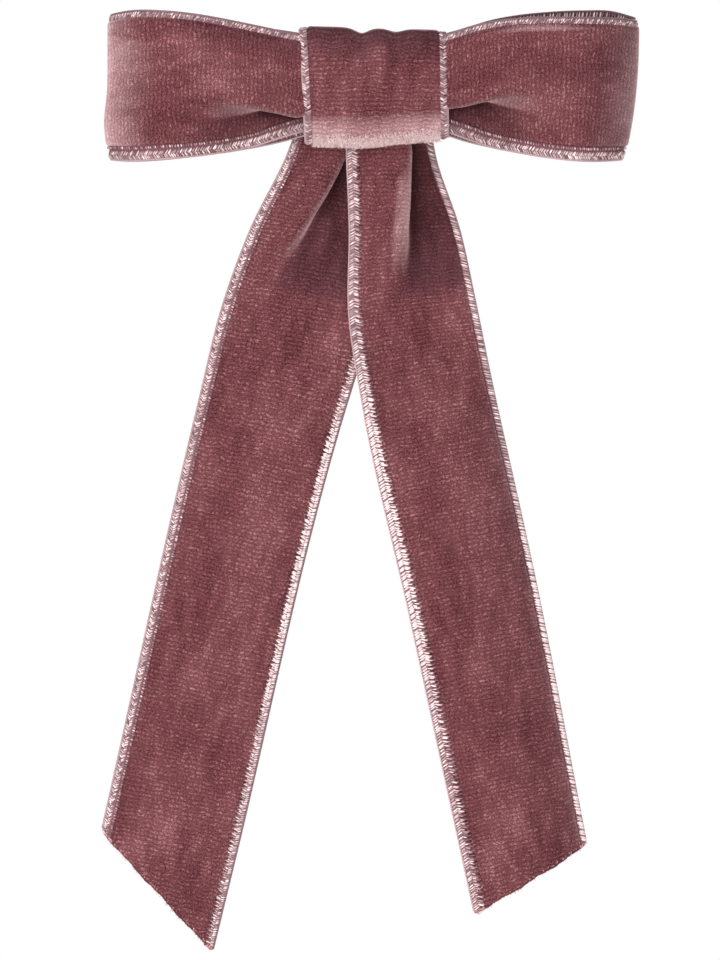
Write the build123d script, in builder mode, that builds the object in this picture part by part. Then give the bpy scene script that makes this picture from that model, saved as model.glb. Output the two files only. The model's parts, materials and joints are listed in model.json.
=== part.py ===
from build123d import *
import os
from math import asin, cos, degrees, radians, sin, sqrt

# A velvet ribbon bow on a sprung steel hair clip, as worn.
# X runs along the clip, Z is up and -Y is the side that shows; the head is on the +Y side.
# The origin is the middle of the space that holds the hair, between tension bar and latch arm.
# Lengths are in millimetres.

# ---- ribbon ----
ribbon_w = 25.0
ribbon_t = 1.0
bow_half_l = 45.7
knot_half_w = 12.6
knot_half_h = 10.0

# ---- clip ----
plate_l = 80.0
plate_w = 8.0
plate_t = 0.6
plate_r = 169.4  # to the plate's inner face
plate_mid_y = -4.5  # inner face at the middle of the clip
centre_y = plate_mid_y + plate_r  # every layer up to the knot is an arc about (0, centre_y)

arm_t = 0.6
arm_w = 6.0
arm_r = 260.0
arm_mid_y = 2.5

bar_t = 0.5
bar_w = 5.6
bar_mid_y = -2.95  # middle of the bar's thickness

pin_r = 0.74
pin_x = -34.5
running_gap = 0.05
sew_x = 38.6
sew_hole_r = 0.8
stitch_x = sew_x - 0.1  # inner leg of each stitch; the outer leg passes the plate's end
stitch_out_x = plate_l / 2 + 0.35
stitch_z = (-0.45, 0.0, 0.45)
thread_r = 0.2
needle_slot = (2 * thread_r + 0.06, stitch_z[-1] * 2 + 2 * thread_r + 0.06)


def on_arc(x, mid_y, radius):
    """The y of an arc that bulges towards -Y, whose middle is at mid_y."""
    return mid_y + radius - sqrt(radius**2 - x**2)


def layer_y(x, radius):
    """The y at x of the layer of that radius about the clip's centre of curvature."""
    return centre_y - sqrt(radius**2 - x**2)


def arc_band(x0, x1, mid_y, radius, thick):
    """The flat region from an arc to one that lies thick further towards -Y, from x0 to x1."""
    middle = (x0 + x1) / 2
    outer_mid, outer_r = mid_y - thick, radius + thick
    with BuildSketch() as band:
        with BuildLine():
            near = ThreePointArc(*[(x, on_arc(x, mid_y, radius)) for x in (x0, middle, x1)])
            far = ThreePointArc(*[(x, on_arc(x, outer_mid, outer_r)) for x in (x0, middle, x1)])
            Line(near @ 0, far @ 0)
            Line(near @ 1, far @ 1)
        make_face()
    return band.sketch


def layer(half_l, inner_r, outer_r):
    """The region between two radii about the clip's centre of curvature."""
    return arc_band(-half_l, half_l, centre_y - inner_r, inner_r, outer_r - inner_r)


def domed_head(radius, height, at_z):
    """A low rivet head that stands on at_z."""
    with BuildPart() as dome:
        Cylinder(radius, height, align=(Align.CENTER, Align.CENTER, Align.MIN))
        fillet(dome.edges().group_by(Axis.Z)[-1], height * 0.9)
    return dome.part.moved(Location((0, 0, at_z)))


# ---- the stack in front of the plate, as radii about the clip's centre of curvature ----
plate_front_r = plate_r + plate_t
glue_front_r = plate_front_r + 0.2
lining_front_r = glue_front_r + 0.7
tails_back_r = lining_front_r + 0.15
tails_front_r = tails_back_r + 2.2
knot_back_r = tails_front_r + 0.15
knot_back_in_r = knot_back_r + ribbon_t
loops_back_r = knot_back_in_r + 0.5
loops_front_r = loops_back_r + 2.9
knot_front_in_r = loops_front_r + 0.5
knot_front_r = knot_front_in_r + ribbon_t

# ---- where the loops' back layer meets the lining ----
loop_seam_x = 38.0
loop_seam_y = layer_y(loop_seam_x, lining_front_r) - 0.16

# ---- hinge end ----
pin_y = on_arc(pin_x, arm_mid_y, arm_r) + arm_t / 2
knuckle_r = 1.35
ear_t = 0.6
ear_x0, ear_x1 = pin_x - 2.1, pin_x + 5.1
ear_top = pin_y + 1.7
ear_z = plate_w / 2 - ear_t  # inner face of each ear

trunnion_x = -30.8
trunnion_r = 0.45
trunnion_y = on_arc(trunnion_x, plate_mid_y, plate_r) + trunnion_r + running_gap
bar_sagitta = trunnion_y - bar_mid_y
bar_r = (trunnion_x**2 + bar_sagitta**2) / (2 * bar_sagitta)

# ---- catch end: a frame that leans with the plate ----
catch_x = 34.6
catch_lean = asin(catch_x / plate_r)
catch_origin = (catch_x, on_arc(catch_x, plate_mid_y, plate_r), 0)
catch_plane = Plane(
    origin=catch_origin, x_dir=(cos(catch_lean), sin(catch_lean), 0), z_dir=(0, 0, 1)
)
leg_plane = Plane(
    origin=catch_origin, x_dir=(0, 0, 1), z_dir=(-cos(catch_lean), -sin(catch_lean), 0)
)
leg_t = 0.5
leg_w = 3.8
saddle_half_w = 2.42
leg_pivot = (saddle_half_w + 0.03 + leg_t / 2, leg_t / 2 + 0.04)  # (z, height over the plate)
head_height = 6.15  # the arm's inner face over the plate
head_half_l = 3.2
window_half_l = 2.15
window_half_w = 3.35
head_half_w = 4.5
barb_reach = 0.4  # how far each barb hooks over the window's edge
ledge_height = head_height + arm_t + 0.1

# ---- tails ----
tail_axis_y = centre_y - (tails_back_r + tails_front_r) / 2
tail_axis_z = -12.2
tail_t = 1.1
tail_gap = 0.1
tail_round_r = tail_t + tail_gap / 2


def base_plate():
    """The curved steel strip, with the two ears that its edges fold into at the hinge end."""
    with BuildPart() as plate:
        add(arc_band(-plate_l / 2, plate_l / 2, plate_mid_y, plate_r, plate_t))
        extrude(amount=plate_w / 2, both=True)
        with BuildSketch(Plane.XZ):
            SlotOverall(plate_l, plate_w)
        extrude(amount=plate_w * 2, both=True, mode=Mode.INTERSECT)

        front = [layer_y(x, plate_front_r) for x in (ear_x0, (ear_x0 + ear_x1) / 2, ear_x1)]
        with BuildSketch(Plane.XY.offset(ear_z)) as ear:
            with BuildLine():
                foot = ThreePointArc(
                    (ear_x0, front[0]), ((ear_x0 + ear_x1) / 2, front[1]), (ear_x1, front[2])
                )
                Polyline(
                    foot @ 1,
                    (ear_x1, trunnion_y + 1.3),
                    (pin_x + 2.0, pin_y - 0.4),
                    (pin_x + 1.5, ear_top),
                    (pin_x - 1.5, ear_top),
                    (ear_x0, pin_y + 0.4),
                    foot @ 0,
                )
            make_face()
            fillet(ear.vertices().group_by(Axis.Y)[-1], 1.2)
            with Locations((pin_x, pin_y)):
                Circle(pin_r + 0.02, mode=Mode.SUBTRACT)
            with Locations((trunnion_x, trunnion_y)):
                Circle(trunnion_r + 0.08, mode=Mode.SUBTRACT)
        extrude(amount=ear_t)
        mirror(about=Plane.XY)

        with BuildSketch(Plane.XZ):
            with Locations((-sew_x, 0), (sew_x, 0)):
                Circle(sew_hole_r)
        extrude(amount=plate_w, both=True, mode=Mode.SUBTRACT)
        with Locations(catch_plane * Rot(X=90)):
            CounterSinkHole(radius=0.62, counter_sink_radius=1.0, depth=4)
    return plate.part


def hinge_pin():
    """A rivet through both ears, with a low domed head at each end."""
    head_z, head_r, head_h = plate_w / 2 + 0.03, 1.15, 0.5
    with BuildPart() as pin:
        Cylinder(pin_r, 2 * head_z)
        add(domed_head(head_r, head_h, head_z))
        mirror(about=Plane.XY)
    return pin.part.moved(Location((pin_x, pin_y, 0)))


def latch_arm():
    """The bar that swings away from the plate: knuckle, ribbed channel and a window for the catch."""
    flange_h, flange_t, rib_half_w, rib_h = 0.9, 0.5, 0.9, 0.35
    strip_x1 = 31.2
    outer_mid, outer_r = arm_mid_y + arm_t, arm_r - arm_t
    with BuildPart() as arm:
        add(arc_band(pin_x, strip_x1, outer_mid, outer_r, arm_t))
        extrude(amount=arm_w / 2, both=True)
        # stiffening flanges along both edges, and a rib between them, on the head's side
        for low_z in (arm_w / 2 - flange_t, -arm_w / 2):
            band = arc_band(-29, 28, outer_mid + flange_h, outer_r - flange_h, flange_h + 0.1)
            add(band.moved(Location((0, 0, low_z))))
            extrude(amount=flange_t)
        add(arc_band(-26, 25, outer_mid + rib_h, outer_r - rib_h, rib_h + 0.1))
        extrude(amount=rib_half_w, both=True)

        with BuildSketch(Plane.XY):
            with Locations((pin_x, pin_y)):
                Circle(knuckle_r)
        extrude(amount=ear_z - 0.1, both=True)

        with BuildSketch(catch_plane * Location((0, head_height, 0), (-90, 0, 0))):
            RectangleRounded(2 * head_half_l, 2 * head_half_w, 1.4)
            RectangleRounded(2 * window_half_l, 2 * window_half_w, 0.5, mode=Mode.SUBTRACT)
        extrude(amount=arm_t)

        with BuildSketch(Plane.XY):
            with Locations((pin_x, pin_y)):
                Circle(pin_r + running_gap)
        extrude(amount=plate_w, both=True, mode=Mode.SUBTRACT)
    return arm.part


def tension_bar():
    """The leaf spring between plate and arm: trunnions in the ears, a rolled lip at the free end."""
    free_x = -trunnion_x
    with BuildPart() as bar:
        add(arc_band(trunnion_x, free_x, bar_mid_y + bar_t / 2, bar_r - bar_t / 2, bar_t))
        extrude(amount=bar_w / 2, both=True)
        with BuildSketch(Plane.XZ):
            SlotOverall(2 * free_x + bar_w * 0.6, bar_w)
        extrude(amount=plate_w, both=True, mode=Mode.INTERSECT)
        for x, half_l in ((trunnion_x, plate_w / 2 - 0.05), (free_x, 2.2)):
            with BuildSketch(Plane.XY):
                with Locations((x, trunnion_y)):
                    Circle(trunnion_r)
            extrude(amount=half_l, both=True)
    return bar.part


def catch_saddle():
    """The middle of the spring catch, riveted to the plate between its two legs."""
    with BuildPart() as saddle:
        with BuildSketch(catch_plane):
            with Locations((0, leg_t / 2 + 0.04)):
                Rectangle(leg_w + 0.8, leg_t)
        extrude(amount=saddle_half_w, both=True)
        with Locations(catch_plane * Rot(X=-90)):
            Hole(radius=0.62, depth=4)
    return saddle.part


def catch_leg():
    """The upper leg of the catch: it hooks over the arm's window, and its tip is pinched inwards."""
    z0, y0 = leg_pivot
    inner, outer = z0 - leg_t / 2, z0 + leg_t / 2
    barb = window_half_w + barb_reach
    tip_z, tip_y = inner - 0.85, ledge_height + 2.5
    with BuildPart() as leg:
        with BuildSketch(leg_plane):
            with BuildLine():
                Polyline(
                    (outer, y0),
                    (outer, ledge_height),
                    (barb, ledge_height + 0.1),
                    (barb, ledge_height + 0.35),
                    (tip_z + 0.45, tip_y),
                    (tip_z, tip_y - 0.1),
                    (barb - 0.62, ledge_height + 0.42),
                    (inner, ledge_height + 0.1),
                    (inner, y0),
                )
                ThreePointArc((inner, y0), (z0, y0 - leg_t / 2), (outer, y0))
            make_face()
        extrude(amount=leg_w / 2, both=True)
    return leg.part


def catch_rivet():
    """Holds the catch's saddle to the plate, flush with the plate's front."""
    shank_r, saddle_top = 0.6, leg_t / 2 + 0.04 + leg_t / 2 + 0.02
    with BuildPart() as rivet:
        Cylinder(shank_r, plate_t - 0.02, align=(Align.CENTER, Align.CENTER, Align.MAX))
        Cylinder(shank_r, saddle_top, align=(Align.CENTER, Align.CENTER, Align.MIN))
        with Locations((0, 0, -plate_t + 0.02)):
            Cone(0.95, shank_r, 0.35, align=(Align.CENTER, Align.CENTER, Align.MIN))
        add(domed_head(1.15, 0.45, saddle_top))
    return rivet.part.moved(catch_plane * Rot(X=-90))


def glue_film(half_l, half_w, inner_r, outer_r):
    """A thin film of hot-melt between two of the layers."""
    with BuildPart() as film:
        add(layer(half_l, inner_r, outer_r))
        extrude(amount=half_w, both=True)
    return film.part


def lining():
    """The fabric strip that backs the bow, a little wider than the plate."""
    length, width = 79.0, 11.0
    with BuildPart() as strip:
        add(layer(length / 2, glue_front_r, lining_front_r))
        extrude(amount=width / 2, both=True)
        with BuildSketch(Plane.XZ):
            RectangleRounded(length, width, 2.0)
        extrude(amount=plate_w * 2, both=True, mode=Mode.INTERSECT)
        with BuildSketch(Plane.XZ):
            with Locations((-stitch_x, 0), (stitch_x, 0)):
                Rectangle(*needle_slot)
        extrude(amount=plate_w * 2, both=True, mode=Mode.SUBTRACT)
    return strip.part


def tail_fold():
    """The folded top of the tail ribbon, pressed flat between the knot and the lining."""
    low, high = tail_axis_z + tail_round_r + 0.25, 8.0
    with BuildPart() as fold:
        add(layer(12.0, tails_back_r, tails_front_r).moved(Location((0, 0, low))))
        extrude(amount=high - low)
        fillet(fold.edges().filter_by(Axis.Y, tolerance=8).group_by(Axis.Z)[-1], 2.0)
    return fold.part


def tail(outline, back_y):
    """One hanging tail: a flat strip whose top is rounded about the line that it swings on."""
    front_y = back_y - tail_t
    x0, x1 = outline[0][0], outline[-1][0]
    far, near = sorted((front_y, back_y), key=lambda y: -abs(y - tail_axis_y))
    rise = sqrt(tail_round_r**2 - (near - tail_axis_y) ** 2)
    diagonal = tail_axis_y + (far - tail_axis_y) * sqrt(0.5)
    with BuildPart() as strip:
        with BuildSketch(Plane.XZ.offset(-back_y)):
            with BuildLine():
                Polyline(*outline, close=True)
            make_face()
        extrude(amount=tail_t)
        with BuildSketch(Plane.YZ.offset(x0)):
            with BuildLine():
                ThreePointArc(
                    (far, tail_axis_z),
                    (diagonal, tail_axis_z + tail_round_r * sqrt(0.5)),
                    (near, tail_axis_z + rise),
                )
                Polyline((near, tail_axis_z + rise), (near, tail_axis_z), (far, tail_axis_z))
            make_face()
        extrude(amount=x1 - x0)
    return strip.part


def tail_left():
    """The tail that hangs to -X, behind the other one."""
    outline = [
        (-15.4, tail_axis_z),
        (-20.0, -21.3),
        (-26.3, -38.0),
        (-29.8, -52.4),
        (-38.3, -87.0),
        (-47.1, -128.2),
        (-28.3, -149.8),
        (-13.1, -87.0),
        (-3.9, -52.4),
        (3.0, -30.0),
        (3.6, tail_axis_z),
    ]
    return tail(outline, tail_axis_y + tail_gap / 2 + tail_t)


def tail_right():
    """The tail that hangs to +X, in front of the other one."""
    outline = [
        (-4.7, tail_axis_z),
        (-4.4, -28.2),
        (-4.3, -41.7),
        (-3.2, -51.6),
        (4.9, -87.0),
        (17.0, -143.6),
        (36.8, -130.3),
        (20.8, -52.4),
        (15.9, -29.0),
        (11.4, tail_axis_z),
    ]
    return tail(outline, tail_axis_y - tail_gap / 2)


def lobe_outline():
    """The +X loop seen from above: the back layer from knot to fold, and the bulging front layer."""
    back_mid = centre_y - loops_back_r
    seam_x, seam_y = loop_seam_x, loop_seam_y
    sagitta = seam_y - back_mid
    back_r = (seam_x**2 + sagitta**2) / (2 * sagitta)
    lean = asin(seam_x / back_r)
    fold_r, turn_end = 5.2, radians(25)
    fold = (seam_x + fold_r * sin(lean), seam_y - fold_r * cos(lean))
    fold_end = (fold[0] + fold_r * sin(turn_end), fold[1] - fold_r * cos(turn_end))
    crest = (26.0, -15.0)
    start_x = knot_half_w - 1.2
    with BuildSketch() as lobe:
        with BuildLine():
            back = ThreePointArc(
                (start_x, on_arc(start_x, back_mid, back_r)),
                (seam_x / 2 + 5, on_arc(seam_x / 2 + 5, back_mid, back_r)),
                (seam_x, seam_y),
            )
            turn = ThreePointArc(back @ 1, (fold[0] + fold_r, fold[1]), fold_end)
            outer_front = TangentArc(turn @ 1, crest, tangent=turn % 1)
            start_front = (start_x, layer_y(start_x, loops_front_r))
            inner_front = TangentArc(crest, start_front, tangent=outer_front % 1)
            Line(inner_front @ 1, back @ 0)
        make_face()
    return lobe.sketch


def loop_ribbon():
    """The closed ring of ribbon that makes both loops, gathered where the knot holds it."""
    full, gathered = 12.9, 8.5
    side = [(knot_half_w - 3, gathered), (knot_half_w, gathered), (22.0, full - 1.9)]
    side += [(34.0, full), (bow_half_l + 1, full)]
    with BuildPart() as ring:
        lobe = lobe_outline()
        add(lobe)
        extrude(amount=full, both=True)
        with BuildSketch(Plane.XZ):
            with BuildLine():
                Polyline(*side, *[(x, -z) for x, z in reversed(side)], close=True)
            make_face()
        extrude(amount=40, both=True, mode=Mode.INTERSECT)
        with BuildSketch(Plane.XZ.offset(-loop_seam_y - 4)):
            with Locations((stitch_x, 0), (stitch_out_x, 0)):
                Rectangle(*needle_slot)
        extrude(amount=8, mode=Mode.SUBTRACT)
        add(offset(lobe, amount=-ribbon_t, mode=Mode.PRIVATE))
        extrude(amount=full + 1, both=True, mode=Mode.SUBTRACT)
        mirror(about=Plane.YZ)
        add(layer(knot_half_w, loops_back_r, loops_front_r))
        extrude(amount=gathered, both=True)
    return ring.part


def cinch_thread():
    """Turns of thread that gather the loops at the middle, under the knot."""
    turns, pitch, gathered = 5, 0.9, 8.5
    back_y = centre_y - loops_back_r + thread_r + 0.03
    front_y = centre_y - loops_front_r - thread_r - 0.03
    half_h = gathered + thread_r + 0.02
    with BuildPart() as wound:
        for i in range(turns):
            x = (i - (turns - 1) / 2) * pitch
            with BuildLine(Plane.YZ.offset(x), mode=Mode.PRIVATE) as turn:
                FilletPolyline(
                    (front_y, -half_h),
                    (back_y, -half_h),
                    (back_y, half_h),
                    (front_y, half_h),
                    radius=0.24,
                    close=True,
                )
            with BuildSketch(Plane(turn.line @ 0, z_dir=turn.line % 0)):
                Circle(thread_r)
            sweep(path=turn.line)
    return wound.part


def knot_band():
    """The ribbon ring round the middle of the loops."""
    wall_h = knot_half_h - ribbon_t
    with BuildPart() as band:
        add(layer(knot_half_w, knot_back_r, knot_front_r))
        extrude(amount=knot_half_h, both=True)
        long_edges = band.edges().filter_by(GeomType.CIRCLE).group_by(Axis.Y)
        fillet(long_edges[0], 2.2)
        fillet(band.edges().filter_by(GeomType.CIRCLE).group_by(Axis.Y)[-1], 1.2)
        add(layer(knot_half_w, knot_back_in_r, knot_front_in_r))
        extrude(amount=wall_h, both=True, mode=Mode.SUBTRACT)
    return band.part


def end_stitches(side):
    """Three stitches through a sewing hole, that tie bow and lining to the end of the plate."""
    low_y, high_y = loop_seam_y - 1.65, layer_y(sew_x, plate_r) + 0.3
    with BuildPart() as sewn:
        for z in stitch_z:
            with BuildLine(Plane.XY.offset(z), mode=Mode.PRIVATE) as stitch:
                FilletPolyline(
                    (stitch_x, low_y),
                    (stitch_out_x, low_y),
                    (stitch_out_x, high_y + 0.3),
                    (stitch_x, high_y),
                    radius=0.3,
                    close=True,
                )
            with BuildSketch(Plane(stitch.line @ 0, z_dir=stitch.line % 0)):
                Circle(thread_r)
            sweep(path=stitch.line)
        if side < 0:
            mirror(about=Plane.YZ, mode=Mode.REPLACE)
    return sewn.part


parts = {
    "base_plate": base_plate(),
    "hinge_pin": hinge_pin(),
    "latch_arm": latch_arm(),
    "tension_bar": tension_bar(),
    "catch_saddle": catch_saddle(),
    "catch_leg_upper": catch_leg(),
    "catch_leg_lower": mirror(catch_leg(), about=Plane.XY),
    "catch_rivet": catch_rivet(),
    "glue_lining": glue_film(28.0, 3.2, plate_front_r, glue_front_r),
    "glue_tails": glue_film(10.5, 4.5, lining_front_r, tails_back_r),
    "glue_knot": glue_film(11.0, 6.5, tails_front_r, knot_back_r),
    "lining": lining(),
    "tail_fold": tail_fold(),
    "tail_left": tail_left(),
    "tail_right": tail_right(),
    "loop_ribbon": loop_ribbon(),
    "cinch_thread": cinch_thread(),
    "knot_band": knot_band(),
    "stitches_left": end_stitches(-1),
    "stitches_right": end_stitches(1),
}

os.makedirs("parts", exist_ok=True)
for name, piece in parts.items():
    piece.label = name
    export_step(piece, f"parts/{name}.step")

# the joints' places and the catch's lean
print("hinge pin", pin_x, round(pin_y, 4))
print("trunnions", trunnion_x, round(trunnion_y, 4))
print("catch leg pivot", leg_plane.from_local_coords(Vector(*leg_pivot)), degrees(catch_lean))
print("tail axis", round(tail_axis_y, 4), tail_axis_z)
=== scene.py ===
"""The looks of a velvet ribbon bow on a sprung steel hair clip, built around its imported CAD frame."""

import json
import math

import bpy
import numpy as np
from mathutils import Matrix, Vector


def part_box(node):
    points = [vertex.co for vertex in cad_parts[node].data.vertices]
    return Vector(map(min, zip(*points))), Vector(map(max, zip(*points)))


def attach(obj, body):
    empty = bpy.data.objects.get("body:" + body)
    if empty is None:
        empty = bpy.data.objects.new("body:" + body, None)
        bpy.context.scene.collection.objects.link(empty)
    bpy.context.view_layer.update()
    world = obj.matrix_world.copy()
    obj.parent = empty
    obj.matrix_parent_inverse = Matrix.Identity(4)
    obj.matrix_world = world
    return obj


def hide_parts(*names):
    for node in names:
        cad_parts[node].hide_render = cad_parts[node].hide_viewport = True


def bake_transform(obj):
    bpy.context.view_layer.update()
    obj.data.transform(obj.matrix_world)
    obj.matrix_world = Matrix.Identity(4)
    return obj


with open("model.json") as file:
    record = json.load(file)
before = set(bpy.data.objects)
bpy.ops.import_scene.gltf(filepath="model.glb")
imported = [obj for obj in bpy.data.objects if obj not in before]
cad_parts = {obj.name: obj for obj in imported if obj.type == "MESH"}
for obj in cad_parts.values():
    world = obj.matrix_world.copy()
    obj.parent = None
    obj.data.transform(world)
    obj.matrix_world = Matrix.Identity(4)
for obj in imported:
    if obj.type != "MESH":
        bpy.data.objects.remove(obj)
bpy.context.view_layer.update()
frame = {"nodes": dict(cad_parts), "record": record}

# ---- the script's unit is the millimetre, and meshes are written in metres ----
MM = 0.001


def box_mm(node):
    """The lowest and highest corners of a CAD node, in millimetres."""
    low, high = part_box(node)
    return np.array(low) / MM, np.array(high) / MM


loops_low, loops_high = box_mm("loop_ribbon")
knot_low, knot_high = box_mm("knot_band")
fold_low, fold_high = box_mm("tail_fold")
left_low, left_high = box_mm("tail_left")
right_low, right_high = box_mm("tail_right")
lining_low, lining_high = box_mm("lining")

# ---- the ribbon's own build, as heights over its middle surface and widths from its edge ----
ribbon_w = 25.0
back_h = -0.42  # back of the woven ground
ground_h = 0.0  # front of the woven ground
pile_h = 0.5  # tips of the pile
fine = 0.25  # step of a ribbon's own grid of points
widths = np.arange(0, ribbon_w + fine / 2, fine)
over_width = widths[None, :]
mesh_step = 0.4  # step of the meshes that are laid on that grid
clip_bow_r = 170.0  # the bow follows the clip's curve


def smooth(t):
    """A soft step from 0 to 1 as t goes from 0 to 1."""
    t = np.clip(t, 0.0, 1.0)
    return t * t * (3 - 2 * t)


def hump(t, middle, width):
    """A soft hump of height 1 round the middle."""
    return np.exp(-(((t - middle) / width) ** 2))


def curve(stations, values, at):
    """A smooth curve through values at rising stations, straight beyond both ends."""
    stations, values, at = (np.asarray(a, float) for a in (stations, values, at))
    slopes = np.gradient(values, stations, axis=0)
    i = np.clip(np.searchsorted(stations, at) - 1, 0, len(stations) - 2)
    run = stations[i + 1] - stations[i]
    t = (at - stations[i]) / run
    inside = np.clip(t, 0.0, 1.0)
    beyond = (t - inside) * run
    if values.ndim > 1:
        inside, beyond, run = inside[..., None], beyond[..., None], run[..., None]
    a = (1 + 2 * inside) * (1 - inside) ** 2 * values[i]
    a += inside * (1 - inside) ** 2 * run * slopes[i]
    a += inside**2 * (3 - 2 * inside) * values[i + 1]
    a += inside**2 * (inside - 1) * run * slopes[i + 1]
    return a + beyond * np.where(beyond < 0, slopes[i], slopes[i + 1])


def by_length(points, step):
    """The same path with points a step apart, and their distances along it."""
    reach = np.concatenate([[0], np.cumsum(np.linalg.norm(np.diff(points, axis=0), axis=1))])
    at = np.linspace(0, reach[-1], int(reach[-1] / step) + 2)
    return at, np.stack([np.interp(at, reach, points[:, k]) for k in range(points.shape[1])], axis=1)


class Ribbon:
    """A bent strip of ribbon: points of its middle surface over its length u and its width v."""

    def __init__(self, u, v, points, shade=None):
        self.u, self.v, self.points = u, v, points
        self.shade = np.zeros(points.shape[:2]) if shade is None else shade
        along = np.gradient(points, u, axis=0)
        across = np.gradient(points, v, axis=1)
        normals = np.cross(along, across)
        self.normals = normals / np.linalg.norm(normals, axis=2, keepdims=True)
        # how far the ribbon's length, and the nap with it, turns to the back, from which the velvet paints
        # sheen and shade
        self.painted_nap_light = along[..., 1] / np.linalg.norm(along, axis=2)

    def pick(self, grid, u, v):
        """A grid's value at u along and v across."""
        a = (np.asarray(u, float) - self.u[0]) / (self.u[1] - self.u[0])
        b = (np.asarray(v, float) - self.v[0]) / (self.v[1] - self.v[0])
        i = np.clip(a.astype(int), 0, len(self.u) - 2)
        j = np.clip(b.astype(int), 0, len(self.v) - 2)
        a, b = a - i, b - j
        if grid.ndim == 3:
            a, b = a[..., None], b[..., None]
        near = grid[i, j] * (1 - b) + grid[i, j + 1] * b
        far = grid[i + 1, j] * (1 - b) + grid[i + 1, j + 1] * b
        return near * (1 - a) + far * a

    def frame_at(self, u, v):
        """The middle surface's point and outward normal."""
        return self.pick(self.points, u, v), self.pick(self.normals, u, v)

    def tubes_along(self, u, v, lift, radii, sides, squash=1.0):
        """Tubes over the ribbon, each along its own row of u, v and lift."""
        point, normal = self.frame_at(u, v)
        return tubes(point + normal * lift[..., None], normal, radii, sides, squash)


def gather(v, start, depth, turn):
    """How far the section of a fold is turned back over the width v, from 0 to 1.

    The fold starts at v = start and goes back for depth. Each of its two turns is as wide as turn.
    """
    into = smooth((v - start) / turn + 0.5)
    out = smooth((v - start - depth) / turn + 0.5)
    return into - out


def shelter(across, deep):
    """How much of the open the folds of a section hide from each of its points: from 0 to 1.

    A point is hidden by what stands more than least_rise in front of it, on either side.
    """
    least_rise = 0.3
    fully_hidden = 0.75 * math.pi
    tangent = np.stack([np.gradient(across, axis=1), np.gradient(-deep, axis=1)])
    tangent /= np.linalg.norm(tangent, axis=0)
    run = across[:, None, :] - across[:, :, None]
    rise = deep[:, :, None] - deep[:, None, :]
    ahead = run * tangent[0][:, :, None] + rise * tangent[1][:, :, None]
    above = rise * tangent[0][:, :, None] - run * tangent[1][:, :, None]
    before = np.tri(across.shape[1], k=-1, dtype=bool)
    hidden = 0
    for side, sign in ((before, -1), (before.T, 1)):
        covers = (above > least_rise) & (rise > least_rise) & side
        angle = np.where(covers, np.arctan2(above, sign * ahead), 0)
        hidden = hidden + angle.max(axis=2)
    return np.clip(hidden / fully_hidden, 0, 1)


def loft(first, last, inward, angles, squeeze):
    """Points between two edges, whose section turns inward by the angles over the width.

    squeeze presses the section flatter. Also gives how much of the open its folds hide from each point.
    """
    middle = (angles[:, 1:] + angles[:, :-1]) / 2
    steps = np.diff(over_width)
    zero = np.zeros((len(angles), 1))
    across = np.concatenate([zero, np.cumsum(np.cos(middle) * steps, axis=1)], axis=1)
    deep = np.concatenate([zero, np.cumsum(np.sin(middle) * steps, axis=1)], axis=1)
    share = across / across[:, -1:]
    deep = deep * squeeze
    run = (last - first)[:, None] * share[..., None]
    width = np.linalg.norm(last - first, axis=1, keepdims=True)
    parts = zip(np.array_split(share * width, 8), np.array_split(deep, 8))
    shade = np.concatenate([shelter(*part) for part in parts])
    return first[:, None] + run + inward[:, None] * deep[..., None], shade


# ---- meshes ----
def new_mesh(name, points, faces, floats, material):
    """An object from points in millimetres, with named float attributes on its points."""
    mesh = bpy.data.meshes.new(name)
    mesh.from_pydata((np.asarray(points) * MM).tolist(), [], faces)
    for key, values in floats.items():
        attribute = mesh.attributes.new(key, "FLOAT", "POINT")
        attribute.data.foreach_set("value", np.asarray(values, np.float32).ravel())
    mesh.polygons.foreach_set("use_smooth", [True] * len(mesh.polygons))
    mesh.materials.append(material)
    mesh.update()
    obj = bpy.data.objects.new(name, mesh)
    bpy.context.scene.collection.objects.link(obj)
    return obj


def closed_faces(rows, columns):
    """Quads over a front grid of points, over a matching back grid, and over the rim between them."""
    count = rows * columns
    at = np.arange(count).reshape(rows, columns)
    front = np.stack([at[:-1, :-1], at[1:, :-1], at[1:, 1:], at[:-1, 1:]], axis=-1).reshape(-1, 4)
    rim = np.concatenate([at[:, 0], at[-1, 1:], at[-2::-1, -1], at[0, -2::-1]])
    wall = np.stack([rim[:-1], rim[1:], rim[1:] + count, rim[:-1] + count], axis=1)
    return np.concatenate([front, front[:, ::-1] + count, wall]).tolist()


def layer(ribbon, name, material, v_range, u_ends, heights, front_material=None):
    """A closed layer of the ribbon over v_range, between its two ends and its two heights.

    u_ends gives the ends over the width v, and heights gives the back and the front at u and v.
    The front may have a material of its own.
    """
    columns = int((v_range[1] - v_range[0]) / mesh_step) + 2
    v = np.linspace(*v_range, columns)
    start, end = u_ends(v)
    rows = int((end.max() - start.min()) / mesh_step) + 2
    share = np.linspace(0, 1, rows)[:, None]
    u = start + (end - start) * share
    v = np.broadcast_to(v, u.shape)
    back, front = heights(u, v)
    middle, normal = ribbon.frame_at(u, v)
    points = np.concatenate([(middle + normal * h[..., None]).reshape(-1, 3) for h in (front, back)])
    faces = closed_faces(rows, columns)
    floats = {key: ribbon.pick(grid, u, v) for key, grid in (("shade", ribbon.shade), ("painted_nap_light", ribbon.painted_nap_light))}
    floats = {"along": u, "across": v, **floats}
    floats = {key: np.tile(values.ravel(), 2) for key, values in floats.items()}
    sheet = new_mesh(name, points, faces, floats, material)
    if front_material:
        sheet.data.materials.append(front_material)
        in_front = np.arange(len(faces)) < (rows - 1) * (columns - 1)
        sheet.data.polygons.foreach_set("material_index", in_front.astype(np.int32))
    return sheet


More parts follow.
